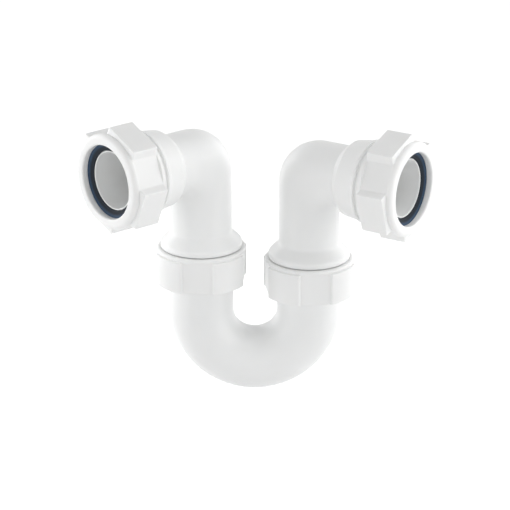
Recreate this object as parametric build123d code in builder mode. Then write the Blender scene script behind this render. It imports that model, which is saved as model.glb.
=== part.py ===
"""Running trap for a 32 mm waste pipe.

A U-bend holds the water seal. A captive union nut on each leg draws an elbow down on to a rubber washer,
so that each elbow swivels about its leg. Each elbow ends in a pipe socket with a compression nut and a
tapered rubber seal. Lengths are in millimetres and angles in degrees.

The origin is the centre of the inlet socket's mouth. +Z is up, and the U lies in a plane of constant Y.
The inlet leg is on the -X side and is the longer of the two.
"""
import os
from math import cos, radians, sin, tan

from build123d import *

# U-bend
leg_spacing = 64.0
u_radius = 19.0
u_wall = 2.3
inlet_leg_height = 18.9
outlet_leg_height = 10.9
flange_thickness = 2.7
spigot_length = 17.0

# Union between a leg and its elbow
seat_gap = 0.05
running_clearance = 0.35
cup_clearance = 0.4
cup_wall = 2.6
washer_thickness = 2.5
washer_clearance = 0.15
union_thread_depth = 0.8
thread_clearance = 0.2

# Union nut
union_nut_height = 21.5
union_lip_thickness = 3.2
union_nut_wall = 2.2
union_ring_step = 1.2
union_pad_step = 1.4
union_pad_height = 19.4
union_pad_half_angle = 24.0
union_pad_foot_half_angle = 27.5
union_top_rounding = 1.3
union_pad_count = 4
inlet_union_nut_angle = -6.5
outlet_union_nut_angle = 5.5

# Elbow
stem_radius = 18.3
stem_wall = 2.8
elbow_rise = 76.3
knuckle_radius = 8.0
crotch_rounding = 4.0
crotch_inset = 0.04
collar_gap = 0.7
collar_step = 2.2
collar_rim_height = 2.8
collar_slope_angle = 45.0
collar_rounding = 2.4
collar_foot_rounding = 3.0
cup_headroom = 2.3

# Pipe socket at the end of the elbow's arm
socket_reach = 64.4
socket_radius = 16.5
socket_depth = 25.5
nose_rim = 0.7
nose_length = 7.5
nose_shoulder = 1.3
arm_thread_wall = 6.3
arm_thread_length = 14.2
bell_step = 1.2
bell_length = 12.7
bell_taper = 1.4
bell_cone_length = 4.5
bell_rounding = 1.2
bead_step = 0.6
bead_width = 2.4
inlet_swivel_angle = 38.3
outlet_swivel_angle = 34.2

# Compression nut and its seal
end_nut_reach = 5.5
end_nut_length = 22.6
end_thread_depth = 1.0
end_lip_thickness = 4.0
end_lip_cover = 5.1
end_flat_wall = 2.6
end_ring_step = 1.35
end_ring_rounding = 2.8
end_opening_rounding = 1.0
lug_step = 3.3
lug_front_setback = 3.5
lug_back_setback = 2.2
lug_half_angle = 22.6
lug_flank = 0.2
lug_rounding = 0.7
inlet_lug_angle = 67.0
outlet_lug_angle = 17.5
lug_count = 4
seal_clearance = 0.3
seal_dish = 1.1

# Sizes that follow from the ones above
u_bend_radius = leg_spacing / 2
u_bore = u_radius - u_wall
cup_bore = u_radius + cup_clearance
union_core_radius = cup_bore + cup_wall
union_nut_bore = union_core_radius + union_thread_depth + thread_clearance
union_flat = union_nut_bore + union_nut_wall
union_ring_radius = union_flat + union_ring_step
union_pad_radius = union_ring_radius + union_pad_step
flange_bottom = union_lip_thickness + seat_gap
flange_top = flange_bottom + flange_thickness
spigot_top = flange_top + spigot_length
washer_bottom = flange_top + seat_gap
washer_top = washer_bottom + washer_thickness
elbow_end = washer_top + seat_gap
collar_bottom = union_nut_height + collar_gap
collar_rim_top = collar_bottom + collar_rim_height
collar_radius = union_core_radius + collar_step
collar_top = collar_rim_top + (collar_radius - stem_radius) * tan(radians(collar_slope_angle))
stem_bore = stem_radius - stem_wall
cup_top = spigot_top + cup_headroom
cup_cone_top = cup_top + (cup_bore - stem_bore) * tan(radians(collar_slope_angle))
knuckle_height = elbow_rise - knuckle_radius
arm_core_radius = socket_radius + arm_thread_wall
nose_root = socket_reach - nose_length
bell_rim = nose_root - arm_thread_length
bell_radius = arm_core_radius + bell_step
bead_radius = bell_radius + bead_step
bead_back = bell_rim - bead_width
bell_shoulder_radius = bell_radius - bell_taper
bell_shoulder = bell_rim - bell_length
bell_foot = bell_shoulder - bell_cone_length
nose_root_radius = arm_core_radius - nose_shoulder
nose_tip_radius = socket_radius + nose_rim
socket_stop = socket_reach - socket_depth
end_nut_front = socket_reach + end_nut_reach
end_nut_back = end_nut_front - end_nut_length
end_nut_bore = arm_core_radius + end_thread_depth + thread_clearance
end_opening = socket_radius + end_lip_cover
end_lip_back = end_nut_front - end_lip_thickness
end_flat = end_nut_bore + end_flat_wall
end_ring_radius = end_flat + end_ring_step
lug_flat = end_flat + lug_step
lug_front = end_nut_front - lug_front_setback
lug_back = end_nut_back + lug_back_setback
seal_radius = end_nut_bore - seal_clearance
seal_back = nose_root + seat_gap
seal_front = end_lip_back - seat_gap

# Where the two legs stand, from the inlet socket's mouth
leg_y = socket_reach * sin(radians(inlet_swivel_angle))
inlet_x = socket_reach * cos(radians(inlet_swivel_angle))
outlet_x = inlet_x + leg_spacing
u_centre_z = -elbow_rise - inlet_leg_height
up = Vector(0, 0, 1)


def arm_direction(outward, swivel_angle):
    """Direction of an elbow's arm: outward is -1 at the inlet and 1 at the outlet."""
    return Vector(outward * cos(radians(swivel_angle)), -sin(radians(swivel_angle)), 0)


def leg_section(leg_x, leg_height, arm):
    """Upright plane through a leg's axis and its arm: x runs along the arm, y up from the nut's underside."""
    return Plane(origin=(leg_x, leg_y, u_centre_z + leg_height), x_dir=arm, z_dir=arm.cross(up))


def leg_floor(leg_x, leg_height, turn_angle=0.0):
    """Level plane at the underside of a leg's union nut, with x turned from the front of the trap."""
    front = Vector(sin(radians(turn_angle)), -cos(radians(turn_angle)), 0)
    return Plane(origin=(leg_x, leg_y, u_centre_z + leg_height), x_dir=front, z_dir=up)


def make_u_bend():
    """One moulding: two legs, the half-turn between them, and a flange and spigot at each leg's end."""
    bend_axis = Axis((inlet_x + u_bend_radius, leg_y, u_centre_z), (0, -1, 0))
    legs = ((inlet_x, inlet_leg_height), (outlet_x, outlet_leg_height))
    with BuildPart() as u_bend:
        with BuildSketch(Plane(origin=(inlet_x, leg_y, u_centre_z))):
            Circle(u_radius)
        revolve(axis=bend_axis, revolution_arc=180)
        for leg_x, leg_height in legs:
            with BuildSketch(Plane(origin=(leg_x, leg_y, u_centre_z))):
                Circle(u_radius)
            extrude(amount=leg_height + spigot_top)
            with BuildSketch(leg_floor(leg_x, leg_height).offset(flange_bottom)):
                Circle(union_core_radius)
            extrude(amount=flange_thickness)
        with BuildSketch(Plane(origin=(inlet_x, leg_y, u_centre_z))):
            Circle(u_bore)
        revolve(axis=bend_axis, revolution_arc=180, mode=Mode.SUBTRACT)
        for leg_x, leg_height in legs:
            with BuildSketch(Plane(origin=(leg_x, leg_y, u_centre_z))):
                Circle(u_bore)
            extrude(amount=leg_height + spigot_top, mode=Mode.SUBTRACT)
    return u_bend.part


def make_union_nut(leg_x, leg_height, turn_angle):
    """Ring nut with a lip under the leg's flange, four grip pads with sloping flanks and flats between."""
    floor = leg_floor(leg_x, leg_height, turn_angle)
    section = Plane(origin=floor.origin, x_dir=floor.x_dir, z_dir=floor.x_dir.cross(up))
    pad_edge = Vector(union_pad_radius, 0).rotate(Axis.Z, union_pad_half_angle)
    pad_foot = Vector(union_flat, 0).rotate(Axis.Z, union_pad_foot_half_angle)
    with BuildPart() as nut:
        with BuildSketch(section) as body:
            Polygon(
                (u_radius + running_clearance, 0),
                (union_ring_radius, 0),
                (union_ring_radius, union_nut_height),
                (union_nut_bore, union_nut_height),
                (union_nut_bore, union_lip_thickness),
                (u_radius + running_clearance, union_lip_thickness),
                align=None,
            )
            top_corner = body.vertices().group_by(Axis.Y)[-1].sort_by(Axis.X)[-1]
            fillet(top_corner, union_top_rounding)
        revolve(axis=Axis(floor.origin, up))
        with BuildSketch(floor):
            with PolarLocations(union_flat, union_pad_count):
                Rectangle(2 * union_ring_step, 2 * union_ring_radius, align=(Align.MIN, Align.CENTER))
        extrude(amount=union_pad_height, mode=Mode.SUBTRACT)
        with BuildSketch(floor):
            with PolarLocations(0, union_pad_count, start_angle=180 / union_pad_count):
                Polygon(
                    (0, -pad_foot.Y),
                    (pad_foot.X, -pad_foot.Y),
                    (pad_edge.X, -pad_edge.Y),
                    (union_pad_radius, -pad_edge.Y),
                    (union_pad_radius, pad_edge.Y),
                    (pad_edge.X, pad_edge.Y),
                    (pad_foot.X, pad_foot.Y),
                    (0, pad_foot.Y),
                    align=None,
                )
            Circle(union_pad_radius, mode=Mode.INTERSECT)
            Circle(union_nut_bore + union_nut_wall / 2, mode=Mode.SUBTRACT)
        extrude(amount=union_pad_height)
    return nut.part


def make_union_washer(leg_x, leg_height):
    """Flat rubber ring on the leg's flange, round its spigot."""
    with BuildPart() as washer:
        with BuildSketch(leg_floor(leg_x, leg_height).offset(washer_bottom)):
            Circle(union_core_radius - washer_clearance)
            Circle(u_radius + washer_clearance, mode=Mode.SUBTRACT)
        extrude(amount=washer_thickness)
    return washer.part


def make_elbow(leg_x, leg_height, arm):
    """One moulding: threaded cup and collar, stem, tight knuckle, beaded bell, arm thread and nose."""
    section = leg_section(leg_x, leg_height, arm)
    stem_axis = Axis(section.origin, up)
    arm_axis = Axis(section.from_local_coords((0, elbow_rise)), arm)
    knuckle_axis = Axis(section.from_local_coords((knuckle_radius, knuckle_height)), -section.z_dir)
    knuckle_floor = Plane(origin=section.from_local_coords((0, knuckle_height)), x_dir=arm, z_dir=up)
    crotch_bend = stem_radius + crotch_rounding
    crotch_floor = Plane(origin=section.from_local_coords((0, elbow_rise - crotch_bend)), x_dir=arm, z_dir=up)
    crotch_axis = Axis(section.from_local_coords((crotch_bend, elbow_rise - crotch_bend)), -section.z_dir)
    knuckle_width = 2 * (stem_radius + knuckle_radius)
    with BuildPart() as elbow:
        with BuildSketch(section) as stem:
            Polygon(
                (0, elbow_end),
                (union_core_radius, elbow_end),
                (union_core_radius, collar_bottom),
                (collar_radius, collar_bottom),
                (collar_radius, collar_rim_top),
                (stem_radius, collar_top),
                (stem_radius, knuckle_height),
                (0, knuckle_height),
                align=None,
            )
            fillet(stem.vertices().sort_by_distance((collar_radius, collar_rim_top))[0], collar_rounding)
            fillet(stem.vertices().sort_by_distance((stem_radius, collar_top))[0], collar_foot_rounding)
        revolve(axis=stem_axis)
        with BuildSketch(section) as bell:
            Polygon(
                (knuckle_radius, elbow_rise),
                (knuckle_radius, elbow_rise + stem_radius),
                (bell_foot, elbow_rise + stem_radius),
                (bell_shoulder, elbow_rise + bell_shoulder_radius),
                (bead_back, elbow_rise + bell_radius),
                (bead_back + bead_step, elbow_rise + bead_radius),
                (bell_rim, elbow_rise + bead_radius),
                (bell_rim, elbow_rise + arm_core_radius),
                (nose_root, elbow_rise + arm_core_radius),
                (nose_root, elbow_rise + nose_root_radius),
                (socket_reach, elbow_rise + nose_tip_radius),
                (socket_reach, elbow_rise),
                align=None,
            )
            foot = bell.vertices().sort_by_distance((bell_foot, elbow_rise + stem_radius))[0]
            shoulder = bell.vertices().sort_by_distance((bell_shoulder, elbow_rise + bell_shoulder_radius))[0]
            fillet([foot, shoulder], bell_rounding)
        revolve(axis=arm_axis)
        with BuildSketch(knuckle_floor):
            Circle(stem_radius)
            with Locations((knuckle_radius - knuckle_width / 2, 0)):
                Rectangle(knuckle_width, knuckle_width, mode=Mode.INTERSECT)
        revolve(axis=knuckle_axis, revolution_arc=90)
        with BuildSketch(crotch_floor):
            Circle(stem_radius - crotch_inset)
        revolve(axis=crotch_axis, revolution_arc=90)
        with BuildSketch(section):
            Polygon(
                (0, elbow_end),
                (cup_bore, elbow_end),
                (cup_bore, cup_top),
                (stem_bore, cup_cone_top),
                (stem_bore, knuckle_height),
                (0, knuckle_height),
                align=None,
            )
        revolve(axis=stem_axis, mode=Mode.SUBTRACT)
        with BuildSketch(section):
            Polygon(
                (knuckle_radius, elbow_rise),
                (knuckle_radius, elbow_rise + stem_bore),
                (socket_stop, elbow_rise + stem_bore),
                (socket_stop, elbow_rise + socket_radius),
                (socket_reach, elbow_rise + socket_radius),
                (socket_reach, elbow_rise),
                align=None,
            )
        revolve(axis=arm_axis, mode=Mode.SUBTRACT)
        with BuildSketch(knuckle_floor):
            Circle(stem_bore)
            with Locations((knuckle_radius - knuckle_width / 2, 0)):
                Rectangle(knuckle_width, knuckle_width, mode=Mode.INTERSECT)
        revolve(axis=knuckle_axis, revolution_arc=90, mode=Mode.SUBTRACT)
    return elbow.part


def make_seal(leg_x, leg_height, arm):
    """Tapered rubber ring: it wraps the elbow's nose and shows a dished face inside the nut's opening."""
    section = leg_section(leg_x, leg_height, arm)
    with BuildPart() as seal:
        with BuildSketch(section):
            Polygon(
                (seal_back, elbow_rise + nose_root_radius + seal_clearance),
                (socket_reach, elbow_rise + nose_tip_radius + seal_clearance),
                (seal_front - seal_dish, elbow_rise + nose_tip_radius + seal_clearance),
                (seal_front, elbow_rise + end_opening),
                (seal_front, elbow_rise + seal_radius),
                (seal_back, elbow_rise + seal_radius),
                align=None,
            )
        revolve(axis=Axis(section.from_local_coords((0, elbow_rise)), arm))
    return seal.part


def make_compression_nut(leg_x, leg_height, arm, turn_angle):
    """Nut with an open front lip; between a ring at each end stand four proud lugs, with flats between."""
    section = leg_section(leg_x, leg_height, arm)
    arm_axis = Axis(section.from_local_coords((0, elbow_rise)), arm)
    near_side = Vector(arm.X * arm.Y, -arm.X * arm.X, 0).normalized()
    lug_plane = Plane(origin=arm_axis.position + arm * lug_back, x_dir=near_side, z_dir=arm)
    lug_length = lug_front - lug_back
    lug_half_width = lug_flat * tan(radians(lug_half_angle))
    with BuildPart() as nut:
        with BuildSketch(section) as body:
            Polygon(
                (end_nut_back, elbow_rise + end_nut_bore),
                (end_nut_back, elbow_rise + end_ring_radius),
                (end_nut_front, elbow_rise + end_ring_radius),
                (end_nut_front, elbow_rise + end_opening),
                (end_lip_back, elbow_rise + end_opening),
                (end_lip_back, elbow_rise + end_nut_bore),
                align=None,
            )
            front_edge = body.vertices().sort_by_distance((end_nut_front, elbow_rise + end_ring_radius))[0]
            fillet(front_edge, end_ring_rounding)
            opening_edge = body.vertices().sort_by_distance((end_nut_front, elbow_rise + end_opening))[0]
            fillet(opening_edge, end_opening_rounding)
        revolve(axis=arm_axis)
        with BuildSketch(lug_plane):
            with PolarLocations(end_flat, lug_count, start_angle=turn_angle + 180 / lug_count):
                Rectangle(2 * end_ring_step, 2 * end_ring_radius, align=(Align.MIN, Align.CENTER))
        extrude(amount=lug_length, mode=Mode.SUBTRACT)
        with BuildSketch(mode=Mode.PRIVATE) as lug:
            Polygon(
                (end_flat - end_flat_wall / 2, -lug_half_width - lug_flank),
                (end_flat, -lug_half_width - lug_flank),
                (lug_flat, -lug_half_width),
                (lug_flat, lug_half_width),
                (end_flat, lug_half_width + lug_flank),
                (end_flat - end_flat_wall / 2, lug_half_width + lug_flank),
                align=None,
            )
            fillet(lug.vertices().group_by(Axis.X)[-1], lug_rounding)
        with BuildSketch(lug_plane):
            with PolarLocations(0, lug_count, start_angle=turn_angle):
                add(lug.sketch)
        extrude(amount=lug_length)
    return nut.part


# Build and write every piece
os.makedirs("parts", exist_ok=True)
pieces = {"u_bend": make_u_bend()}
inlet_arm = arm_direction(-1, inlet_swivel_angle)
outlet_arm = arm_direction(1, outlet_swivel_angle)
sides = (
    ("inlet", inlet_x, inlet_leg_height, inlet_arm, inlet_union_nut_angle, inlet_lug_angle),
    ("outlet", outlet_x, outlet_leg_height, outlet_arm, outlet_union_nut_angle, outlet_lug_angle),
)
for side, leg_x, leg_height, arm, nut_angle, lug_angle in sides:
    pieces[f"{side}_union_nut"] = make_union_nut(leg_x, leg_height, nut_angle)
    pieces[f"{side}_union_washer"] = make_union_washer(leg_x, leg_height)
    pieces[f"{side}_elbow"] = make_elbow(leg_x, leg_height, arm)
    pieces[f"{side}_seal"] = make_seal(leg_x, leg_height, arm)
    pieces[f"{side}_compression_nut"] = make_compression_nut(leg_x, leg_height, arm, lug_angle)
for name, piece in pieces.items():
    piece.label = name
    export_step(piece, f"parts/{name}.step")
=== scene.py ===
# %% [markdown]
# # A running trap in white plastic
# A running trap sits in a line of waste pipe and keeps a plug of water in its U, so that smells stay out.
# Two ring nuts join the U to two elbows that swivel, and each elbow ends in a pipe socket with a big nut.
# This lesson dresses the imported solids: every piece is rebuilt as a smooth numpy surface and given a finish.

import bpy
import numpy as np
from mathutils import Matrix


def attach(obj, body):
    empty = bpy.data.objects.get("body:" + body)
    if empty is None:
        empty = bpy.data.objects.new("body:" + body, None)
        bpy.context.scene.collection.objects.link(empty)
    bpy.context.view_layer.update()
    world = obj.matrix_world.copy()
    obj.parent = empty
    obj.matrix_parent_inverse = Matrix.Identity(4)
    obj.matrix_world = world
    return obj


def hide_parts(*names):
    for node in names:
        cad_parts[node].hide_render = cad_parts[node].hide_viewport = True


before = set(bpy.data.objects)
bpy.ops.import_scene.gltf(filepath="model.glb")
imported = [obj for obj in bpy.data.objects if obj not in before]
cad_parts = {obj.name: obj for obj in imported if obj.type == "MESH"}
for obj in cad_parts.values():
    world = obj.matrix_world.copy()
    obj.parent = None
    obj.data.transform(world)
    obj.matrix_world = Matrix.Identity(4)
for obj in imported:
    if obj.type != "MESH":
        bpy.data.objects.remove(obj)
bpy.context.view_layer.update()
print("solids:", ", ".join(sorted(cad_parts)))

# %% [markdown]
# ## Where the trap stands
# All sizes below are in millimetres and, but for one gap under the collars, those of the solids, so that each new
# skin lies on its own solid.
# The origin is the middle of the inlet's mouth. Both legs stand upright, and both arms lie level.
# An arm's direction, the upward direction and the one square to both make a little frame for each side.

# %% The frame of each side
MM = 0.001
LEG_SPACING, RISE, REACH = 64.0, 76.3, 64.4
LEG_HEIGHT = {"inlet": 18.9, "outlet": 10.9}
SWIVEL = {"inlet": np.radians(38.3), "outlet": np.radians(34.2)}
UP = np.array([0.0, 0.0, 1.0])
LEG_Y = REACH * np.sin(SWIVEL["inlet"])
INLET_X = REACH * np.cos(SWIVEL["inlet"])
LEG_X = {"inlet": INLET_X, "outlet": INLET_X + LEG_SPACING}
U_CENTRE = np.array([INLET_X + LEG_SPACING / 2, LEG_Y, -RISE - LEG_HEIGHT["inlet"]])
NUT_FLOOR = {side: np.array([LEG_X[side], LEG_Y, U_CENTRE[2] + LEG_HEIGHT[side]]) for side in LEG_X}
OUTWARD = {"inlet": -1.0, "outlet": 1.0}
ARM = {side: np.array([OUTWARD[side] * np.cos(turn), -np.sin(turn), 0.0]) for side, turn in SWIVEL.items()}
ACROSS = {side: np.cross(UP, ARM[side]) for side in ARM}
print("undersides of the union nuts:", {side: np.round(p, 1).tolist() for side, p in NUT_FLOOR.items()})

# %% [markdown]
# ## From a grid of points to a closed skin
# Every piece of this trap is a ring of some kind: a tube, a nut, a seal. Its skin can be written as a grid whose
# rows go once round the wall's section and whose columns go once round the axis. Both ways the last joins the first.
# A bmesh built face by face would give the same mesh, but whole arrays are shorter and much faster.

# %% A closed skin
def closed_skin(name, grid, body, finish):
    """Mesh of a grid of points [row, column, xyz] that closes both ways: each cell of the grid is one quad.

    The signed volume, a sixth of the sum of a . (b x c) over all triangles, tells which way the quads face."""
    rows, columns = grid.shape[:2]
    number = np.arange(rows * columns).reshape(rows, columns)
    below = np.roll(number, -1, axis=0)
    corners = [number, below, np.roll(below, -1, axis=1), np.roll(number, -1, axis=1)]
    quads = np.stack(corners, axis=-1).reshape(-1, 4)
    points = grid.reshape(-1, 3) * MM
    a, b, c, d = (points[quads[:, k]] for k in range(4))
    volume = (np.sum(a * np.cross(b, c)) + np.sum(a * np.cross(c, d))) / 6
    if volume < 0:
        quads = quads[:, ::-1]
    mesh = bpy.data.meshes.new(name)
    mesh.vertices.add(len(points))
    mesh.vertices.foreach_set("co", np.ascontiguousarray(points, dtype=np.float32).ravel())
    mesh.loops.add(quads.size)
    mesh.loops.foreach_set("vertex_index", np.ascontiguousarray(quads, dtype=np.int32).ravel())
    mesh.polygons.add(len(quads))
    mesh.polygons.foreach_set("loop_start", np.arange(0, quads.size, 4, dtype=np.int32))
    mesh.update(calc_edges=True)
    mesh.shade_smooth()
    mesh.materials.append(finish)
    piece = bpy.data.objects.new(name, mesh)
    bpy.context.scene.collection.objects.link(piece)
    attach(piece, body)
    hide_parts(body)
    print(f"{name}: {2 * len(quads)} triangles, {abs(volume) * 1e6:.1f} cm3")


# %% [markdown]
# ## Outlines with rounded corners
# Moulded plastic has no knife edges: the tool that cuts the mould leaves a small radius on each corner, and that
# radius is what catches the light. A Bevel modifier could round the mesh afterwards, but here the outline of each
# section is rounded first, so the radius of every corner is known and the rows run along it.

# %% A rounded outline
ARC_STEP, END_POINT, SHORTEST_RUN = 12, 0.3, 0.9


def rounded_outline(corners, longest=2.5, closed=False):
    """Points along an outline of corners (x, y, radius).

    A corner is cut back by radius * tan(turn / 2) on both sides and bridged by an exact arc, the rational curve
    ((1-s)^2 A + 2 w s (1-s) P + s^2 B) / ((1-s)^2 + 2 w s (1-s) + s^2) with w = cos(turn / 2).
    Straight runs get a point close to each end, which keeps the shading flat, and one every few millimetres.
    Below, each corner on an outline turned about an axis is (place along the axis, radius, rounding)."""
    corners = np.array(corners, dtype=float)
    place, radius = corners[:, :2], corners[:, 2]
    ways = np.roll(place, -1, axis=0) - place
    lengths = np.linalg.norm(ways, axis=1)
    ways = ways / lengths[:, None]
    arrive, leave = np.roll(ways, 1, axis=0), ways
    turn = np.arccos(np.clip(np.sum(arrive * leave, axis=1), -1, 1))
    if not closed:
        turn[[0, -1]] = 0
    cut = radius * np.tan(turn / 2)
    starts, ends = place - arrive * cut[:, None], place + leave * cut[:, None]
    pieces = []
    for k in range(len(place)):
        if cut[k] > 1e-6:
            s = np.linspace(0, 1, max(3, int(np.ceil(np.degrees(turn[k]) / ARC_STEP)) + 1))[:, None]
            first, middle, last = (1 - s) ** 2, 2 * np.cos(turn[k] / 2) * s * (1 - s), s ** 2
            arc = first * starts[k] + middle * place[k] + last * ends[k]
            pieces.append(arc / (first + middle + last))
        else:
            pieces.append(place[k:k + 1])
        if k == len(place) - 1 and not closed:
            break
        target = starts[(k + 1) % len(place)]
        run = np.linalg.norm(target - ends[k])
        if run > SHORTEST_RUN:
            close = END_POINT / run
            share = np.linspace(close, 1 - close, max(2, int(np.ceil(run / longest)) + 1))[:, None]
            pieces.append(ends[k] + (target - ends[k]) * share)
    return np.concatenate(pieces)


square = rounded_outline([(0, 0, 1), (9, 0, 1), (9, 9, 1), (0, 9, 1)], longest=9, closed=True)
print("a square with 1 mm corners has", len(square), "points")

# %% [markdown]
# ## Soft joins between two shapes
# Where a grip pad grows out of a ring, the real part has a small fillet, and where two faces meet outside it has a
# small round. A soft maximum and a soft minimum of two radii give both without any modelling of edges.

# %% Soft maximum and minimum
def soft_max(a, b, width):
    """The larger of a and b, lifted by (width - |a - b|)^2 / (4 width) where they are closer than width."""
    near = np.clip(width - np.abs(a - b), 0, None)
    return np.maximum(a, b) + near * near / (4 * width)


def soft_min(a, b, width):
    """The smaller of a and b, rounded in the same way."""
    return -soft_max(-a, -b, width)


def ease(t):
    """Smooth step 3 t^2 - 2 t^3 between 0 and 1."""
    t = np.clip(t, 0, 1)
    return t * t * (3 - 2 * t)


print("soft maximum of 1 and 1 at width 0.4:", float(soft_max(np.array(1.0), np.array(1.0), 0.4)))

# %% [markdown]
# ## White moulded polypropylene
# The fittings are injection moulded in white polypropylene. Seen close, such plastic isn't one flat white: it lets a
# little light in below the skin, its gloss changes where the melt flowed and cooled, and the mould's own fine
# grain shows in highlights. Three noises on Object coordinates make that: a broad one for tone and gloss, and two
# finer ones for the bump. The broad noise is drawn out a little upwards, the way the melt runs along the tubes.

# %% Node helpers
NOISE_LOW, NOISE_HIGH = 0.3, 0.7


def new_finish(name):
    """An empty node material with a Principled shader; returns the material, its node tree and the shader."""
    finish = bpy.data.materials.new(name)
    finish.use_nodes = True
    return finish, finish.node_tree, finish.node_tree.nodes["Principled BSDF"]


def noise(tree, scale, detail, roughness, stretch=(1, 1, 1)):
    """Noise on the piece's Object coordinates, stretched along each axis; returns its 0 to 1 output."""
    where = tree.nodes.new("ShaderNodeTexCoord")
    mapping = tree.nodes.new("ShaderNodeMapping")
    mapping.inputs["Scale"].default_value = stretch
    grain = tree.nodes.new("ShaderNodeTexNoise")
    grain.inputs["Scale"].default_value = scale
    grain.inputs["Detail"].default_value = detail
    grain.inputs["Roughness"].default_value = roughness
    tree.links.new(where.outputs["Object"], mapping.inputs["Vector"])
    tree.links.new(mapping.outputs["Vector"], grain.inputs["Vector"])
    return grain.outputs["Fac"]


def ramp(tree, value, low, high):
    """Colour that runs from low to high over the range that a noise mostly keeps to."""
    node = tree.nodes.new("ShaderNodeValToRGB")
    node.color_ramp.elements[0].position = NOISE_LOW
    node.color_ramp.elements[0].color = (*low, 1)
    node.color_ramp.elements[1].position = NOISE_HIGH
    node.color_ramp.elements[1].color = (*high, 1)
    tree.links.new(value, node.inputs["Fac"])
    return node.outputs["Color"]


def spread(tree, value, low, high):
    """Number that runs from low to high over the same range."""
    node = tree.nodes.new("ShaderNodeMapRange")
    node.inputs["From Min"].default_value = NOISE_LOW
    node.inputs["From Max"].default_value = NOISE_HIGH
    node.inputs["To Min"].default_value = low
    node.inputs["To Max"].default_value = high
    tree.links.new(value, node.inputs["Value"])
    return node.outputs["Result"]


def bumps(tree, value, strength, depth_mm, under=None):
    """Bump of a given depth in millimetres, on top of another bump if one is given."""
    node = tree.nodes.new("ShaderNodeBump")
    node.inputs["Strength"].default_value = strength
    node.inputs["Distance"].default_value = depth_mm * MM
    tree.links.new(value, node.inputs["Height"])
    if under is not None:
        tree.links.new(under, node.inputs["Normal"])
    return node.outputs["Normal"]


# %% White polypropylene
MELT_FLOW = {"scale": 38, "detail": 3, "roughness": 0.55, "stretch": (1, 1, 0.45)}
MOULD_GRAIN = {"scale": 1700, "detail": 2, "roughness": 0.5}
MOULD_RIPPLE = {"scale": 130, "detail": 1, "roughness": 0.4}
GLOSS_SPREAD, PLASTIC_IOR = 0.05, 1.49
BELOW_SKIN, BELOW_SKIN_TINT = 0.35, (1.0, 0.97, 0.93)


def polypropylene(name, dark, light, rough, depth_mm):
    """Moulded plastic: tone and roughness follow the melt's flow, the bump is a fine mould grain on long ripples.

    Light goes about depth_mm below the skin: less in the nuts, whose many edges would blur."""
    finish, tree, shader = new_finish(name)
    flow = noise(tree, **MELT_FLOW)
    grain = noise(tree, **MOULD_GRAIN)
    tree.links.new(ramp(tree, flow, dark, light), shader.inputs["Base Color"])
    tree.links.new(spread(tree, flow, rough + GLOSS_SPREAD, rough - GLOSS_SPREAD), shader.inputs["Roughness"])
    ripple = bumps(tree, noise(tree, **MOULD_RIPPLE), strength=0.25, depth_mm=0.06)
    tree.links.new(bumps(tree, grain, strength=0.12, depth_mm=0.03, under=ripple), shader.inputs["Normal"])
    shader.inputs["IOR"].default_value = PLASTIC_IOR
    shader.inputs["Subsurface Weight"].default_value = BELOW_SKIN
    shader.inputs["Subsurface Radius"].default_value = BELOW_SKIN_TINT
    shader.inputs["Subsurface Scale"].default_value = depth_mm * MM
    return finish


pipe_plastic = polypropylene("pipe polypropylene", dark=(0.89, 0.897, 0.893), light=(0.915, 0.92, 0.915),
                             rough=0.36, depth_mm=3.0)
nut_plastic = polypropylene("nut polypropylene", dark=(0.88, 0.885, 0.88), light=(0.91, 0.913, 0.908),
                            rough=0.33, depth_mm=2.0)
print("finishes:", pipe_plastic.name, "and", nut_plastic.name)

# %% [markdown]
# ## Rubber for the seals and washers
# The big seals are a blue-black rubber with painted shade and light in its colour: nearly black round the pipe, where
# the dish lies in shade, and a lit blue towards the edge that the nut presses.
# How far a place is from the arm's axis can be had from a cross product, so no texture has to be painted for it.
# The flat washers inside the unions are plain black rubber. Both are matt and slightly mottled.

# %% Matt rubber
MOTTLE = {"scale": 240, "detail": 4, "roughness": 0.6}
PEBBLE = {"scale": 1500, "detail": 2, "roughness": 0.5}
ROUGH_SPREAD, RUBBER_IOR, RUBBER_GLOSS = 0.08, 1.52, 0.2


def rubber(name, dark, light, rough):
    """Matt moulded rubber: mottled tone, uneven roughness and a fine pebbled bump; returns it with its parts."""
    finish, tree, shader = new_finish(name)
    mottle = noise(tree, **MOTTLE)
    tone = ramp(tree, mottle, dark, light)
    tree.links.new(tone, shader.inputs["Base Color"])
    tree.links.new(spread(tree, mottle, rough - ROUGH_SPREAD, rough + ROUGH_SPREAD), shader.inputs["Roughness"])
    tree.links.new(bumps(tree, noise(tree, **PEBBLE), strength=0.3, depth_mm=0.04), shader.inputs["Normal"])
    shader.inputs["IOR"].default_value = RUBBER_IOR
    shader.inputs["Specular IOR Level"].default_value = RUBBER_GLOSS
    return finish, tree, shader, mottle, tone


washer_rubber = rubber("black washer rubber", (0.012, 0.012, 0.013), (0.024, 0.024, 0.026), 0.62)[0]
print("finish:", washer_rubber.name)

# %% Seal rubber
# Painted shade and light on the seals, in mm from the arm's axis: dark up to the first distance, lit blue from the
# second.
SHADE_UP_TO, LIT_BLUE_FROM = 19.0, 21.4


def from_axis(tree, origin, axis, low, high):
    """0 at low millimetres from an axis and nearer, 1 at high and farther: the length of (place - origin) x axis."""
    where = tree.nodes.new("ShaderNodeTexCoord")
    apart, across, length = (tree.nodes.new("ShaderNodeVectorMath") for _ in range(3))
    apart.operation, across.operation, length.operation = "SUBTRACT", "CROSS_PRODUCT", "LENGTH"
    apart.inputs[1].default_value = origin * MM
    across.inputs[1].default_value = axis
    share = tree.nodes.new("ShaderNodeMapRange")
    share.interpolation_type = "SMOOTHSTEP"
    share.inputs["From Min"].default_value = low * MM
    share.inputs["From Max"].default_value = high * MM
    tree.links.new(where.outputs["Object"], apart.inputs[0])
    tree.links.new(apart.outputs["Vector"], across.inputs[0])
    tree.links.new(across.outputs["Vector"], length.inputs[0])
    tree.links.new(length.outputs["Value"], share.inputs["Value"])
    return share.outputs["Result"]


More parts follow.
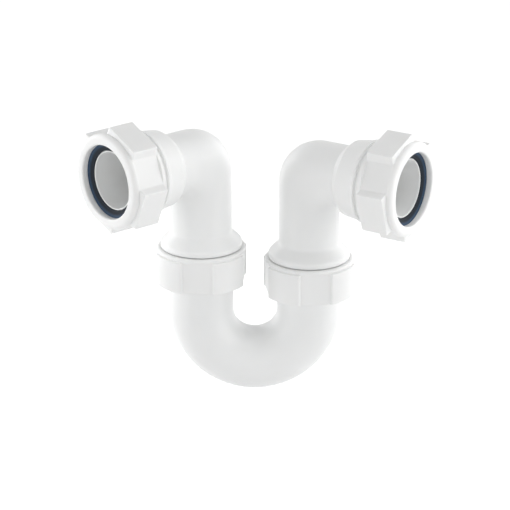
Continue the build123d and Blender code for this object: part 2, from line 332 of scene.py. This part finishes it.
def seal_finish(side):
    """Blue-black rubber with painted shade near the arm's axis and a painted lit blue farther from it."""
    finish, tree, shader, mottle, tone = rubber(
        f"{side} seal rubber", (0.006, 0.010, 0.016), (0.012, 0.018, 0.027), 0.6)
    # Painted shade and light: the dark tone near the axis stands for shade, and the blue farther out for the lit
    # face.
    blend = tree.nodes.new("ShaderNodeMix")
    blend.data_type = "RGBA"
    factor, inner, outer = blend.inputs[0], blend.inputs[6], blend.inputs[7]
    tree.links.new(from_axis(tree, NUT_FLOOR[side] + UP * RISE, ARM[side], SHADE_UP_TO, LIT_BLUE_FROM), factor)
    tree.links.new(tone, inner)
    tree.links.new(ramp(tree, mottle, (0.035, 0.066, 0.118), (0.052, 0.092, 0.155)), outer)
    tree.links.new(blend.outputs[2], shader.inputs["Base Color"])
    return finish


seal_rubber = {side: seal_finish(side) for side in ARM}
print("finishes:", [finish.name for finish in seal_rubber.values()])

# %% [markdown]
# ## The U-bend
# The U is one moulding: two upright legs and a half-turn between them. Near the top of each leg a flange sits in its
# union nut, and a spigot above it reaches up inside the elbow. It could be a curve with a bevel, but then the
# flanges would be separate pieces. Here one ring is carried down one leg, round the bend, up the other leg and back
# through the bore, and its radius changes on the way. A hair-thin parting line shows where the mould halves met.

# %% Rings along the U
U_RADIUS, U_BORE, U_TURN = 19.0, 16.7, LEG_SPACING / 2
FLANGE, FLANGE_LOW, FLANGE_HIGH, SPIGOT_TOP = 22.0, 3.25, 5.95, 22.95
BACK = np.array([0, 1.0, 0])
TUBE_POINTS, TURN_ROWS, CROWDING = 168, 73, 0.3


def crowded_angles(count):
    """Angles round a tube, t - c sin 2t, which crowd at 0 and at half a turn, where the parting line runs."""
    t = np.linspace(0, 2 * np.pi, count, endpoint=False)
    return t - CROWDING * np.sin(2 * t)


def parting_line(radius, angle, height=0.07, width=0.45):
    """Place below the parting line's crest, height * (exp(-(d / width)^2) - 1), at d from the mould's plane.

    The crest lies on the solid's surface and the rest a hair below it, so the skin stays inside the solid's box."""
    return height * (np.exp(-(radius * np.sin(angle) / width) ** 2) - 1)


def u_leg(side, heights_and_radii, angle):
    """Level rings on a leg: centre + radius (outward cos + back sin) at each height."""
    outward = np.array([OUTWARD[side], 0, 0])
    height, radius = heights_and_radii[:, 0, None], heights_and_radii[:, 1, None]
    radius = radius + parting_line(radius, angle)
    ring = outward * np.cos(angle)[:, None] + BACK * np.sin(angle)[:, None]
    return NUT_FLOOR[side] + UP * height[..., None] + ring * radius[..., None]


def u_turn(radius, phi, angle):
    """Half-turn rings: at phi the ring's centre is U_TURN out along (-cos phi, 0, -sin phi)."""
    out = np.stack([-np.cos(phi), 0 * phi, -np.sin(phi)], axis=-1)[:, None, :]
    around = U_TURN + (radius + parting_line(radius, angle)) * np.cos(angle)
    return U_CENTRE + out * around[None, :, None] + BACK * (radius * np.sin(angle))[None, :, None]


print("the U bends with", U_TURN, "mm, and its wall is", round(U_RADIUS - U_BORE, 1), "mm thick")


# %% Build the U
def build_u_bend():
    """Outer rings from one spigot to the other, then the bore's rings back again."""
    angle = crowded_angles(TUBE_POINTS)
    outer, bore = {}, {}
    for side in LEG_HEIGHT:
        outer[side] = rounded_outline([
            (SPIGOT_TOP, U_BORE + 0.6, 0), (SPIGOT_TOP, U_RADIUS, 0.7), (FLANGE_HIGH, U_RADIUS, 0.3),
            (FLANGE_HIGH, FLANGE, 0.4), (FLANGE_LOW, FLANGE, 0.4), (FLANGE_LOW, U_RADIUS, 0.3),
            (0.4 - LEG_HEIGHT[side], U_RADIUS, 0)])
        bore[side] = np.array([
            (SPIGOT_TOP, U_BORE + 0.5), (SPIGOT_TOP - 0.15, U_BORE + 0.15), (SPIGOT_TOP - 0.5, U_BORE),
            (SPIGOT_TOP - 4, U_BORE), (2.0, U_BORE), (0.5 - LEG_HEIGHT[side], U_BORE)])
    phi = np.linspace(0, np.pi, TURN_ROWS)
    return np.concatenate([
        u_leg("inlet", outer["inlet"], angle), u_turn(U_RADIUS, phi, angle),
        u_leg("outlet", outer["outlet"][::-1], angle), u_leg("outlet", bore["outlet"], angle),
        u_turn(U_BORE, phi[::-2], angle), u_leg("inlet", bore["inlet"][::-1], angle)])


closed_skin("u_bend_skin", build_u_bend(), "u_bend", pipe_plastic)

# %% [markdown]
# ## The union nuts
# A union nut is a ring with a lip below, which catches the leg's flange, and a screw thread inside, which climbs the
# elbow. Its outside has four broad grip pads with sloping flanks, four flats between them and a smooth ring
# on top. Booleans on a cylinder could cut it. A radius that depends on the angle does it in one step: the ring, cut
# by the flats, joined with the pads. Near the top all of that eases into the plain ring.

# %% Outline of a union nut
UNION_BORE, UNION_FLAT, UNION_RING, UNION_PAD = 23.0, 25.2, 26.4, 27.8
UNION_HEIGHT, UNION_PADS_TOP, UNION_LIP, UNION_OPENING = 21.5, 19.4, 3.2, 19.35
UNION_FOOT_ROUND, UNION_TOP_ROUND = 0.45, 1.3
PAD_EDGE, PAD_FOOT, FLANK_RANGE = 24, 27.5, np.radians([21, 30])
FLAT_ROUND, PAD_ROUND, PAD_FILLET = 0.25, 0.5, 0.3
UNION_TURN = {"inlet": np.radians(-6.5), "outlet": np.radians(5.5)}


def line_radius(angle, near, far):
    """Radius at an angle of the straight line through two points given as (radius, angle in degrees)."""
    (r1, t1), (r2, t2) = near, far
    x1, y1 = r1 * np.cos(np.radians(t1)), r1 * np.sin(np.radians(t1))
    x2, y2 = r2 * np.cos(np.radians(t2)), r2 * np.sin(np.radians(t2))
    return (x1 * y2 - x2 * y1) / ((y2 - y1) * np.cos(angle) - (x2 - x1) * np.sin(angle))


def union_grip(angle):
    """Radius of the grip at an angle from a flat's middle: ring or flat, whichever is less, or pad if that is more.

    A flat is apothem / cos(angle), and a pad is its rim circle or its sloping flank, whichever is less."""
    from_flat = (angle + np.pi / 4) % (np.pi / 2) - np.pi / 4
    from_pad = np.abs(angle % (np.pi / 2) - np.pi / 4)
    body = soft_min(np.full_like(angle, UNION_RING), UNION_FLAT / np.cos(from_flat), FLAT_ROUND)
    flank = line_radius(np.clip(from_pad, *FLANK_RANGE), (UNION_PAD, PAD_EDGE), (UNION_FLAT, PAD_FOOT))
    pad = soft_min(np.full_like(angle, UNION_PAD), flank, PAD_ROUND)
    return soft_max(body, pad, PAD_FILLET)


ring_angles = np.linspace(0, 2 * np.pi, 480, endpoint=False)
print("grip from", union_grip(ring_angles).min().round(2), "to", union_grip(ring_angles).max().round(2), "mm")

# %% Rows up a nut
STEP_LENGTH, STEP_LEAD, ROW_GAP, ROW_SPACING, RIM_GAP = 0.6, 0.2, 0.3, 2.4, 0.05
FOOT_ROWS, STEP_ROWS, RIM_ROWS = 6, 8, 9


def grip_rows(length, edge, grip_from, grip_to, top_round):
    """Rows up a nut as (height, share of the plain ring, inset): a rounded foot, the grip between two steps, a rim.

    Where the grip starts at the foot itself there is no plain ring below it, and no step."""
    foot = np.linspace(0, np.pi / 2, FOOT_ROWS)
    rim = np.linspace(0, np.pi / 2, RIM_ROWS)
    step = np.linspace(0, 1, STEP_ROWS)
    ring_below = 1.0 if grip_from > 0 else 0.0
    rows = [np.stack([edge * (1 - np.cos(foot)), 0 * foot + ring_below, edge * (1 - np.sin(foot))], axis=1)]
    first = edge + ROW_GAP
    if grip_from > 0:
        below = np.array([edge + ROW_GAP, grip_from - 2 * STEP_LEAD])
        rows.append(np.stack([below, 0 * below + 1, 0 * below], axis=1))
        rows.append(np.stack([grip_from - STEP_LEAD + STEP_LENGTH * step, 1 - ease(step), 0 * step], axis=1))
        first = grip_from + STEP_LENGTH
    last = grip_to - STEP_LENGTH
    between = np.linspace(first + ROW_GAP, last - ROW_GAP, int((grip_to - first) / ROW_SPACING))
    side = np.concatenate([[first], between, [last]])
    top = np.linspace(grip_to + 2 * STEP_LEAD, length - top_round - RIM_GAP, 3)
    return np.concatenate(rows + [
        np.stack([side, 0 * side, 0 * side], axis=1),
        np.stack([grip_to - 2 * STEP_LEAD + STEP_LENGTH * step, ease(step), 0 * step], axis=1),
        np.stack([top, 0 * top + 1, 0 * top], axis=1),
        np.stack([length - top_round * (1 - np.sin(rim)), 0 * rim + 1, top_round * (1 - np.cos(rim))], axis=1)])


union_rows = grip_rows(UNION_HEIGHT, UNION_FOOT_ROUND, 0, UNION_PADS_TOP, UNION_TOP_ROUND)
print("a union nut has", len(union_rows), "rows up its outside")


# %% Build the union nuts
def build_union_nut(side):
    """Grip rows outside, then plain rings over the rim, down the bore, along the lip and back to the foot."""
    angle = ring_angles
    height, plain, inset = (column[:, None] for column in union_rows.T)
    outer = (1 - plain) * union_grip(angle)[None, :] + plain * UNION_RING - inset
    inner = rounded_outline([
        (UNION_RING - UNION_TOP_ROUND - 0.3, UNION_HEIGHT, 0), (UNION_BORE, UNION_HEIGHT, 0.6),
        (UNION_BORE, UNION_LIP, 0.5), (UNION_OPENING, UNION_LIP, 0.5), (UNION_OPENING, 0, 0.5),
        (UNION_FLAT - 0.9, 0, 0)])
    radius = np.concatenate([outer, np.repeat(inner[:, :1], len(angle), axis=1)])
    level = np.concatenate([np.repeat(height, len(angle), axis=1), np.repeat(inner[:, 1:], len(angle), axis=1)])
    front = angle + UNION_TURN[side] - np.pi / 2
    spoke = np.stack([np.cos(front), np.sin(front), 0 * front], axis=-1)
    return NUT_FLOOR[side] + spoke * radius[..., None] + UP * level[..., None]


for side in LEG_X:
    node = f"{side}_union_nut"
    closed_skin(f"{node}_skin", build_union_nut(side), node, nut_plastic)

# %% [markdown]
# ## The union washers
# A flat rubber ring lies on each flange and seals the joint when the elbow is drawn down on it. It hides inside
# the nut, and shows when the union is taken apart. It is a small closed outline turned about the leg.

# %% Turn an outline about an axis
WASHER_LOW, WASHER_HIGH, WASHER_BORE, WASHER_RIM, WASHER_EDGE = 6.0, 8.5, 19.15, 21.85, 0.4


def turned(outline, origin, axis, start, count):
    """Rings of an outline (place along the axis, radius): origin + axis * place + radius * (spoke at each angle)."""
    angle = np.linspace(0, 2 * np.pi, count, endpoint=False)[:, None]
    spoke = start * np.cos(angle) + np.cross(axis, start) * np.sin(angle)
    return origin + axis * outline[:, 0, None, None] + spoke[None] * outline[:, 1, None, None]


washer_outline = rounded_outline([
    (WASHER_LOW, WASHER_BORE, WASHER_EDGE), (WASHER_LOW, WASHER_RIM, WASHER_EDGE),
    (WASHER_HIGH, WASHER_RIM, WASHER_EDGE), (WASHER_HIGH, WASHER_BORE, WASHER_EDGE)], longest=1.2, closed=True)
for side in LEG_X:
    node = f"{side}_union_washer"
    rings = turned(washer_outline, NUT_FLOOR[side], UP, ARM[side], count=120)
    closed_skin(f"{node}_skin", rings, node, washer_rubber)

# %% [markdown]
# ## The elbows
# Each elbow is one moulding: a threaded cup under a collar, a stem, a tight knuckle, a bell and the pipe socket with
# its own thread and a conical nose. Its bend is tighter than the tube is thick, so a ring carried along a bent
# path would cut through itself on the inside. Instead each line along the tube bends with a radius of its own:
# a line at offset c towards the arm goes up, turns with radius R - c, and goes out. On the inside R grows to the
# softer corner of the mould, so no line ever crosses another.

# %% Lines that bend each with its own radius
STEM, STEM_BORE, KNUCKLE, CROOK = 18.3, 15.5, 8.0, 21.9
KNUCKLE_FOOT, KNUCKLE_END = RISE - 24.0, 22.3
FOOT_STEPS, ARC_STEPS, END_STEPS = 6, 30, 3


def stem_rings(side, heights_and_radii, angle):
    """Level rings on a stem. The radius may be one number for a row or differ along the row."""
    height, radius = heights_and_radii
    ring = ARM[side] * np.cos(angle)[:, None] + ACROSS[side] * np.sin(angle)[:, None]
    return NUT_FLOOR[side] + UP * height[:, None, None] + ring[None] * radius[..., None]


def arm_rings(side, reaches_and_radii, angle):
    """Upright rings on an arm, which carry on from the stem's: the side towards the arm becomes its underside."""
    reach, radius = reaches_and_radii
    ring = -UP * np.cos(angle)[:, None] + ACROSS[side] * np.sin(angle)[:, None]
    return NUT_FLOOR[side] + UP * RISE + ARM[side] * reach[:, None, None] + ring[None] * radius[..., None]


def knuckle_rings(side, radius, bend, angle):
    """Rows round the knuckle: each line is straight, then an arc of radius bend - c, then straight again."""
    c = radius * np.cos(angle)
    turn = bend - c
    start = RISE - c - turn
    low = np.linspace(0, 1, FOOT_STEPS + 1)[:-1, None]
    arc = np.linspace(0, np.pi / 2, ARC_STEPS + 1)[:, None]
    high = np.linspace(0, 1, END_STEPS + 1)[1:, None]
    along = np.concatenate([
        c + 0 * low, c + turn * (1 - np.cos(arc)), c + turn + (KNUCKLE_END - c - turn) * high])
    height = np.concatenate([
        KNUCKLE_FOOT + (start - KNUCKLE_FOOT) * low, start + turn * np.sin(arc), RISE - c + 0 * high])
    sideways = radius * np.sin(angle)
    return (NUT_FLOOR[side] + ARM[side] * along[..., None] + UP * height[..., None]
            + ACROSS[side] * np.broadcast_to(sideways, along.shape)[..., None])


print("outside of the knuckle bends with", KNUCKLE + STEM, "mm, the inside with", round(CROOK - STEM, 1), "mm")

# %% [markdown]
# ## Screw threads
# Both ends of an elbow carry a coarse right-handed thread of 3 mm pitch. A thread could be a separate spiral, but it
# is part of the same moulding, so it goes straight into the radius: the ridge's height depends only on the phase,
# place / pitch - angle / turn, and fades out at both ends as a moulded thread does.

# %% Height of a thread
THREAD_PITCH, THREAD_FADE, THREAD_STEP, THREAD_MARGIN = 3.0, 1.2, 0.2, 0.3
ROOT_HALF, FLANK_WIDTH = 0.17, 0.18


def thread_height(place, angle, depth, first, last):
    """Rounded wave of the phase: a crest of 0.9 mm, flanks of 0.54 mm and a root of 1 mm, faded over 1.2 mm."""
    phase = (place[:, None] / THREAD_PITCH - angle[None, :] / (2 * np.pi)) % 1
    wave = ease((0.5 - np.abs(phase - 0.5) - ROOT_HALF) / FLANK_WIDTH)
    fade = np.clip((place - first) / THREAD_FADE, 0, 1) * np.clip((last - place) / THREAD_FADE, 0, 1)
    return depth * wave * fade[:, None]


def threaded_rows(first, last, core, depth, angle):
    """Places every 0.2 mm from first to last, and the radius of core plus thread at each place and angle."""
    place = np.linspace(first, last, int((last - first) / THREAD_STEP))
    return place, core + thread_height(place, angle, depth, first + THREAD_MARGIN, last - THREAD_MARGIN)


print("one turn of thread has", round(THREAD_PITCH / THREAD_STEP), "rows")

# %% [markdown]
# An elbow is then a row of outlines turned about the stem and the arm, with the knuckle between them. Its collar
# comes 0.3 mm lower than the solid's does, because in the photograph the gap between collar and nut is a thin line.

# %% Build the elbows
CUP_CORE, CUP_BORE, CUP_END, COLLAR_LOW, COLLAR_RIM, COLLAR = 22.0, 19.4, 8.55, 21.9, 25.0, 24.2
WELL_FLOOR, WELL_TOP, CUP_THREAD, ARM_THREAD = 25.25, 29.15, 0.8, 1.0
ARM_CORE, BELL, BELL_END, BELL_RIM, BEAD, BEAD_FROM = 22.8, 24.0, 40.3, 42.7, 24.6, 40.9
FLARE_FROM, FLARE_TO, FLARE = 25.5, 30.0, 22.6
NOSE_ROOT, NOSE_WIDE, NOSE_TIP, SOCKET, SOCKET_STOP = 56.9, 21.5, 17.2, 16.5, 38.9
CROOK_FROM, CROOK_WIDTH, BORE_CROOK, BORE_CROOK_ROUND = -4.0, 14.0, 0.8, 3.0


def plain_rows(outline, angle):
    """An outline of (place, radius) as rows of equal radius all the way round."""
    return outline[:, 0], np.repeat(outline[:, 1:], len(angle), axis=1)


def build_elbow(side):
    """Outside from the cup's end to the mouth, then the bore from the mouth back to the cup."""
    angle = crowded_angles(TUBE_POINTS)
    seam = parting_line(STEM, angle)
    bend = KNUCKLE + (CROOK - KNUCKLE) * ease((STEM * np.cos(angle) - CROOK_FROM) / CROOK_WIDTH)
    bore_line = STEM_BORE * np.cos(angle)
    bore_bend = bore_line + soft_max(KNUCKLE - bore_line, np.full_like(angle, BORE_CROOK), BORE_CROOK_ROUND)
    cup = rounded_outline([(CUP_END, CUP_BORE + 0.6, 0), (CUP_END, CUP_CORE, 0.5), (CUP_END + 0.9, CUP_CORE, 0)])
    collar = rounded_outline([
        (COLLAR_LOW - 0.35, CUP_CORE, 0), (COLLAR_LOW, CUP_CORE, 0.2), (COLLAR_LOW, COLLAR, 0.4),
        (COLLAR_RIM, COLLAR, 2.4), (COLLAR_RIM + COLLAR - STEM, STEM, 3.0), (KNUCKLE_FOOT - 0.5, STEM, 0)])
    bell = rounded_outline([
        (KNUCKLE_END + 0.02, STEM, 0), (FLARE_FROM, STEM, 1.0), (FLARE_TO, FLARE, 1.2), (BELL_END, BELL, 0.3),
        (BEAD_FROM, BEAD, 0.3), (BELL_RIM, BEAD, 0.4), (BELL_RIM, ARM_CORE, 0.2), (BELL_RIM + 0.35, ARM_CORE, 0)])
    nose = rounded_outline([
        (NOSE_ROOT - 0.6, ARM_CORE, 0), (NOSE_ROOT, ARM_CORE, 0.3), (NOSE_ROOT, NOSE_WIDE, 0.3),
        (REACH, NOSE_TIP, 0.25), (REACH, SOCKET, 0.25), (SOCKET_STOP, SOCKET, 0.4),
        (SOCKET_STOP, STEM_BORE, 0.5), (KNUCKLE_END + 0.4, STEM_BORE, 0)])
    well = rounded_outline([
        (KNUCKLE_FOOT - 0.5, STEM_BORE, 0), (WELL_TOP, STEM_BORE, 1.0), (WELL_FLOOR, CUP_BORE, 1.0),
        (CUP_END, CUP_BORE, 0.4), (CUP_END, CUP_BORE + 0.5, 0)])
    cup_thread = threaded_rows(CUP_END + 1.0, COLLAR_LOW - 0.5, CUP_CORE, CUP_THREAD, angle)
    arm_thread = threaded_rows(BELL_RIM + 0.5, NOSE_ROOT - 0.8, ARM_CORE, ARM_THREAD, angle)
    collar_rows, bell_rows = plain_rows(collar, angle), plain_rows(bell, angle)
    collar_rows[1][collar[:, 0] > COLLAR_LOW + 0.5] += seam
    bell_rows[1][bell[:, 0] < BELL_RIM - 0.5] += seam
    return np.concatenate([
        stem_rings(side, plain_rows(cup, angle), angle), stem_rings(side, cup_thread, angle),
        stem_rings(side, collar_rows, angle), knuckle_rings(side, STEM + seam, bend, angle),
        arm_rings(side, bell_rows, angle), arm_rings(side, arm_thread, angle),
        arm_rings(side, plain_rows(nose, angle), angle),
        knuckle_rings(side, STEM_BORE, bore_bend, angle)[::-1], stem_rings(side, plain_rows(well, angle), angle)])


for side in LEG_X:
    node = f"{side}_elbow"
    closed_skin(f"{node}_skin", build_elbow(side), node, pipe_plastic)

# %% [markdown]
# ## The seals
# In each mouth a tapered rubber ring is squeezed between the nut's lip and the elbow's nose, and grips the pipe.
# From outside only its dished blue-black face shows. It is a closed outline turned about the arm.

# %% Build the seals
SEAL_BACK, SEAL_FRONT, SEAL_CONE, SEAL_RIM = 56.95, 65.85, 21.8, 23.7
SEAL_MOUTH, SEAL_MOUTH_BACK, SEAL_MOUTH_FRONT, SEAL_FACE = 17.5, 64.4, 64.75, 21.6
seal_outline = rounded_outline([
    (SEAL_BACK, SEAL_CONE, 0.25), (SEAL_MOUTH_BACK, SEAL_MOUTH, 0.15), (SEAL_MOUTH_FRONT, SEAL_MOUTH, 0.15),
    (SEAL_FRONT, SEAL_FACE, 0.4), (SEAL_FRONT, SEAL_RIM, 0.4), (SEAL_BACK, SEAL_RIM, 0.4)],
    longest=1.5, closed=True)
for side in LEG_X:
    node = f"{side}_seal"
    rings = turned(seal_outline, NUT_FLOOR[side] + UP * RISE, ARM[side], UP, count=144)
    closed_skin(f"{node}_skin", rings, node, seal_rubber[side])

# %% [markdown]
# ## The compression nuts
# The big nuts at the mouths are turned by hand or with a wrench: four broad flat lugs stand proud of the ring, with a
# flat between each two, and a smooth ring runs past them at both ends. The same kind of radius function
# serves: a lug is its flat top or its steep flank, whichever is less.

# %% Outline of a compression nut
END_BACK, END_FRONT, END_BORE, END_FLAT, END_RING = 47.3, 69.9, 24.0, 26.6, 27.95
LUG_FLAT, LUG_BACK, LUG_FRONT, LUG_HALF, LUG_FLANK = 29.9, 49.5, 66.4, np.radians(22.6), 0.2
LUG_HALF_WIDTH = LUG_FLAT * np.tan(LUG_HALF)
END_OPENING, END_LIP_BACK, END_FOOT_ROUND, END_ROUND = 21.6, 65.9, 0.5, 2.8
LUG_FLANK_RANGE, LUG_ROUND, LUG_FILLET = np.radians([15, 32]), 0.9, 0.45
LUG_TURN = {"inlet": np.radians(67.0), "outlet": np.radians(17.5)}


def lug_grip(angle):
    """Radius of the grip at an angle from a lug's middle: ring or flat, whichever is less, or lug if that is more."""
    from_lug = np.abs((angle + np.pi / 4) % (np.pi / 2) - np.pi / 4)
    from_flat = np.pi / 4 - from_lug
    body = soft_min(np.full_like(angle, END_RING), END_FLAT / np.cos(from_flat), FLAT_ROUND)
    slope = np.degrees(np.arctan2(LUG_HALF_WIDTH + LUG_FLANK, END_FLAT))
    near = (LUG_FLAT / np.cos(LUG_HALF), np.degrees(LUG_HALF))
    far = (END_FLAT / np.cos(np.radians(slope)), slope)
    flank = line_radius(np.clip(from_lug, *LUG_FLANK_RANGE), near, far)
    lug = soft_min(LUG_FLAT / np.cos(from_lug), flank, LUG_ROUND)
    return soft_max(body, lug, LUG_FILLET)


lug_angles = np.linspace(0, 2 * np.pi, 576, endpoint=False)
print("grip from", lug_grip(lug_angles).min().round(2), "to", lug_grip(lug_angles).max().round(2), "mm")


# %% Build the compression nuts
def build_compression_nut(side):
    """Grip rows outside, then plain rings over the rim, into the opening, behind the lip and back along the bore."""
    angle = lug_angles
    rows = grip_rows(END_FRONT - END_BACK, END_FOOT_ROUND, LUG_BACK - END_BACK, LUG_FRONT - END_BACK, END_ROUND)
    place, plain, inset = (column[:, None] for column in rows.T)
    outer = (1 - plain) * lug_grip(angle)[None, :] + plain * END_RING - inset
    inner = rounded_outline([
        (END_FRONT, END_RING - END_ROUND - 0.3, 0), (END_FRONT, END_OPENING, 1.0), (END_LIP_BACK, END_OPENING, 0.4),
        (END_LIP_BACK, END_BORE, 0.5), (END_BACK, END_BORE, 0.7), (END_BACK, END_RING - 0.9, 0)])
    radius = np.concatenate([outer, np.repeat(inner[:, 1:], len(angle), axis=1)])
    along = np.repeat(np.concatenate([place + END_BACK, inner[:, :1]]), len(angle), axis=1)
    start = ACROSS[side] if ACROSS[side][1] < 0 else -ACROSS[side]
    turn = (angle + LUG_TURN[side])[:, None]
    spoke = start * np.cos(turn) + np.cross(ARM[side], start) * np.sin(turn)
    return NUT_FLOOR[side] + UP * RISE + ARM[side] * along[..., None] + spoke * radius[..., None]


for side in LEG_X:
    node = f"{side}_compression_nut"
    closed_skin(f"{node}_skin", build_compression_nut(side), node, nut_plastic)

# %% [markdown]
# ## Floor, light and camera
# The photograph is a cut-out on white. Its light is soft and comes from both sides, more from behind on the left and
# more from the front and above on the right, so that both edges of a tube are bright and its middle is not.
# A white floor a hand's length below keeps the shadow out of the picture. It is white to the camera by a little
# light of its own, so no lamp has to be turned up for it.

# %% Floor
FLOOR_HALF, FLOOR_BELOW, FLOOR_LIFT = 6.0, 0.21, 0.62
FLOOR_CLOUDS = {"scale": 3, "detail": 2, "roughness": 0.5}


def seen_rays(tree):
    """1 for rays from the camera and for those that gloss and glass send on, 0 for the rest, as a chain of maxima."""
    rays = tree.nodes.new("ShaderNodeLightPath")
    seen = rays.outputs["Is Camera Ray"]
    for kind in ("Is Glossy Ray", "Is Transmission Ray"):
        larger = tree.nodes.new("ShaderNodeMath")
        larger.operation = "MAXIMUM"
        tree.links.new(seen, larger.inputs[0])
        tree.links.new(rays.outputs[kind], larger.inputs[1])
        seen = larger.outputs[0]
    return seen


def white_floor():
    """A plain sheet below the trap; the camera and gloss see it lit up to white, and it still takes shadows."""
    level = U_CENTRE[2] * MM - FLOOR_BELOW
    mesh = bpy.data.meshes.new("floor")
    corners = np.array([[-1, -1], [1, -1], [1, 1], [-1, 1]]) * FLOOR_HALF
    mesh.from_pydata([(x, y, level) for x, y in corners], [], [(0, 1, 2, 3)])
    floor = bpy.data.objects.new("floor", mesh)
    bpy.context.scene.collection.objects.link(floor)
    finish, tree, shader = new_finish("white floor")
    shader.inputs["Roughness"].default_value = 0.9
    shader.inputs["Specular IOR Level"].default_value = 0.0
    tone = ramp(tree, noise(tree, **FLOOR_CLOUDS), (0.80, 0.80, 0.80), (0.82, 0.82, 0.82))
    tree.links.new(tone, shader.inputs["Base Color"])
    lift = tree.nodes.new("ShaderNodeMath")
    lift.operation = "MULTIPLY"
    lift.inputs[1].default_value = FLOOR_LIFT
    tree.links.new(seen_rays(tree), lift.inputs[0])
    tree.links.new(lift.outputs[0], shader.inputs["Emission Strength"])
    shader.inputs["Emission Color"].default_value = (1, 1, 1, 1)
    mesh.materials.append(finish)
    return floor


floor = white_floor()
print("floor at", round(floor.data.vertices[0].co.z, 3), "m")

# %% Light
SOFTBOX_SIZE, AIM_ABOVE_U = 1.0, 0.06
SOFTBOXES = {
    "left": ((-1.1, -0.4, 0.05), 4.5), "right": ((1.1, -0.4, 0.05), 5.2),
    "left back": ((-0.95, 0.6, 0.15), 6.0), "right back": ((0.95, 0.6, 0.15), 3.8),
    "right high": ((0.8, -0.1, 0.9), 3.2), "front": ((0, -1.25, 0.3), 2.3)}


def soft_lamp(name, target, place, watts):
    """A square softbox at a place in metres that faces the target."""
    lamp = bpy.data.lights.new(name, "AREA")
    lamp.shape = "SQUARE"
    lamp.size = SOFTBOX_SIZE
    lamp.energy = watts
    box = bpy.data.objects.new(name, lamp)
    bpy.context.scene.collection.objects.link(box)
    box.location = place
    aim = np.array(target) - np.array(place)
    box.rotation_euler = (np.arctan2(np.hypot(aim[0], aim[1]), -aim[2]), 0, np.arctan2(aim[0], -aim[1]) + np.pi)
    return box


middle = U_CENTRE * MM + UP * AIM_ABOVE_U
lamps = [soft_lamp(f"{name} softbox", middle, middle + np.array(place), watts)
         for name, (place, watts) in SOFTBOXES.items()]
print("lamps:", [lamp.name for lamp in lamps])

# %% Room
ROOM_LIGHT, ROOM_SEEN = 0.42, 1.0
world = bpy.data.worlds.new("white room")
world.use_nodes = True
room = world.node_tree
room_level = room.nodes.new("ShaderNodeMapRange")
room_level.inputs["To Min"].default_value = ROOM_LIGHT
room_level.inputs["To Max"].default_value = ROOM_SEEN
room.links.new(seen_rays(room), room_level.inputs["Value"])
room.nodes["Background"].inputs["Color"].default_value = (1, 1, 1, 1)
room.links.new(room_level.outputs["Result"], room.nodes["Background"].inputs["Strength"])
bpy.context.scene.world = world
bpy.context.scene.view_settings.view_transform = "Standard"
print("room lights the trap at", ROOM_LIGHT, "and is seen at", ROOM_SEEN)

# %% [markdown]
# The camera stands 1.4 m away, 2 degrees to the left of the trap's front and 21 degrees above level. The lens is
# long, so that 306 mm at the U fill the square picture, as they do in the photograph.

# %% Camera
VIEW_TURN, VIEW_TILT, VIEW_DISTANCE, VIEW_WIDTH = np.radians(-2.0), np.radians(21.0), 1.4, 0.306
VIEW_RAISE, VIEW_LEFT, SENSOR = 0.03126, 0.0002, 36.0
level_way = np.array([np.sin(VIEW_TURN), -np.cos(VIEW_TURN), 0.0])
to_camera = level_way * np.cos(VIEW_TILT) + UP * np.sin(VIEW_TILT)
right = np.array([np.cos(VIEW_TURN), np.sin(VIEW_TURN), 0.0])
above = np.cross(to_camera, right)
lens = bpy.data.cameras.new("camera")
lens.sensor_width = SENSOR
lens.lens = SENSOR * VIEW_DISTANCE / VIEW_WIDTH
camera = bpy.data.objects.new("camera", lens)
bpy.context.scene.collection.objects.link(camera)
camera.location = U_CENTRE * MM + above * VIEW_RAISE - right * VIEW_LEFT + to_camera * VIEW_DISTANCE
camera.rotation_euler = (np.pi / 2 - VIEW_TILT, 0, VIEW_TURN)
bpy.context.scene.camera = camera
print("camera at", [round(c, 3) for c in camera.location], "lens", round(lens.lens, 1))
